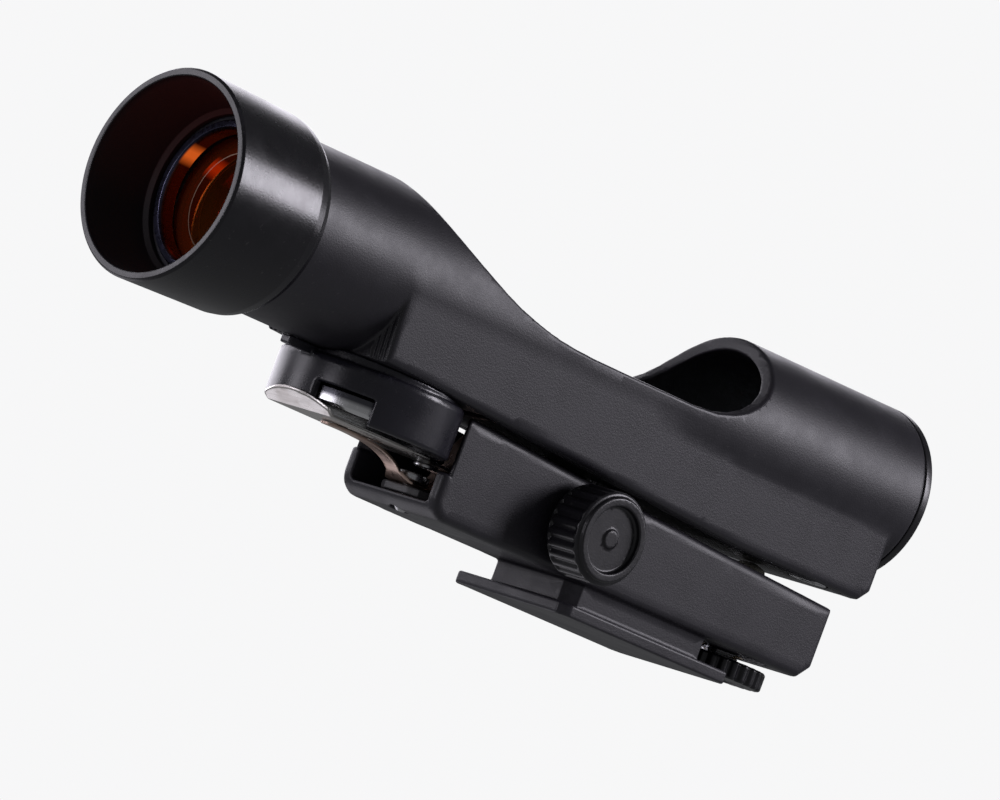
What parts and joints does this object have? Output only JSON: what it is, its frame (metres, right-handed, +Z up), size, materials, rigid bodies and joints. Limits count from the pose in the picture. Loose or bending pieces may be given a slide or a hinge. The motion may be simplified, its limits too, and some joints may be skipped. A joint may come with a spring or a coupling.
{
  "type": "red dot finder",
  "caption": "Red dot finder: a tube with a flared hood, amber mirror lens and open saddle on a bracket with side and underside adjusting knobs, coin-cell drum and slide-in foot.",
  "frame": {"origin": "centre of the foot's flat underside", "axes": "+X towards the sky end of the optical axis, +Y to the user's left, +Z up from the foot to the optical axis"},
  "size_m": [0.0993, 0.025, 0.0329],
  "materials": {
    "housing_plastic": "fine-grained moulded black plastic",
    "satin_plastic": "smooth satin black plastic",
    "lens_ring_metal": "dark anodised ring",
    "coated_glass": "amber partly mirrored coating",
    "clear_glass": "clear",
    "swivel_plastic": "plain moulded plastic",
    "screw_steel": "bright zinc-plated steel",
    "spring_strip": "warm-tinted spring steel",
    "clip_steel": "plated strip",
    "cell_steel": "stainless cell can",
    "brass": "plain turned brass",
    "board": "green solder mask",
    "component": "moulded component case",
    "lamp_red": "clear red lens",
    "wire_red": "plain insulation",
    "wire_black": "plain insulation",
    "pad_nylon": "plain nylon"
  },
  "bodies": {
    "base": {"base_bracket": "housing_plastic", "azimuth_pivot_screw": "screw_steel", "azimuth_insert": "brass", "altitude_insert": "brass", "azimuth_spring": "screw_steel"},
    "swivel": {"swivel_block": "swivel_plastic", "leaf_spring": "spring_strip"},
    "sight": {"upper_housing": "housing_plastic", "front_hood": "satin_plastic", "lens_retaining_ring": "lens_ring_metal", "reflector_lens": "coated_glass", "rear_window": "clear_glass", "rear_eye_ring": "satin_plastic", "bottom_cover": "housing_plastic", "altitude_pin": "screw_steel", "cover_screw_1": "screw_steel", "cover_screw_2": "screw_steel", "battery_drum": "satin_plastic", "drum_screw_1": "screw_steel", "drum_screw_2": "screw_steel", "coin_cell": "cell_steel", "positive_contact": "brass", "battery_clip": "clip_steel", "battery_clip_screw": "screw_steel", "circuit_board": "board", "resistor": "component", "lamp_holder": "satin_plastic", "lamp": "lamp_red", "pinhole_mask": "housing_plastic", "lamp_lead_1": "screw_steel", "lamp_lead_2": "screw_steel", "potentiometer_case": "component", "supply_wire": "wire_red", "return_wire": "wire_black"},
    "brightness_control": {"brightness_knob": "satin_plastic", "potentiometer_wiper": "brass"},
    "azimuth_push": {"azimuth_pad": "pad_nylon"},
    "azimuth_drive": {"azimuth_screw": "screw_steel", "azimuth_knob": "satin_plastic"},
    "altitude_push": {"altitude_pad": "pad_nylon"},
    "altitude_drive": {"altitude_screw": "screw_steel", "altitude_knob": "satin_plastic"}
  },
  "joints": [
    {"name": "sight_azimuth", "type": "hinge", "parent": "base", "child": "swivel", "pos_m": [0.0285, 0, 0.0054], "axis": [0, 0, 1], "range_deg": [-2, 2]},
    {"name": "sight_altitude", "type": "hinge", "parent": "swivel", "child": "sight", "pos_m": [0.007, 0, 0.0096], "axis": [0, -1, 0], "range_deg": [-1, 2.2], "deforming": ["leaf_spring"]},
    {"name": "azimuth_screw_travel", "type": "slide", "parent": "base", "child": "azimuth_push", "axis": [0, -1, 0], "range_m": [-0.00056, 0.00056]},
    {"name": "azimuth_knob_turn", "type": "hinge", "parent": "azimuth_push", "child": "azimuth_drive", "pos_m": [0.0132, 0.009, 0.0079], "axis": [0, -1, 0], "range_deg": [-280, 280]},
    {"name": "altitude_screw_travel", "type": "slide", "parent": "base", "child": "altitude_push", "axis": [0, 0, 1], "range_m": [-0.00096, 0.00046]},
    {"name": "altitude_knob_turn", "type": "hinge", "parent": "altitude_push", "child": "altitude_drive", "pos_m": [-0.017, 0, 0.0019], "axis": [0, 0, 1], "range_deg": [-490, 230]},
    {"name": "brightness_turn", "type": "hinge", "parent": "sight", "child": "brightness_control", "pos_m": [0.01, -0.009, 0.0182], "axis": [0, 1, 0], "range_deg": [0, 270]}
  ],
  "couplings": [
    {"joint": "azimuth_screw_travel", "follows": "sight_azimuth", "m_per_rad": 0.0153},
    {"joint": "azimuth_knob_turn", "follows": "sight_azimuth", "ratio": 137.33},
    {"joint": "altitude_screw_travel", "follows": "sight_altitude", "m_per_rad": -0.024},
    {"joint": "altitude_knob_turn", "follows": "sight_altitude", "ratio": -215.42}
  ]
}
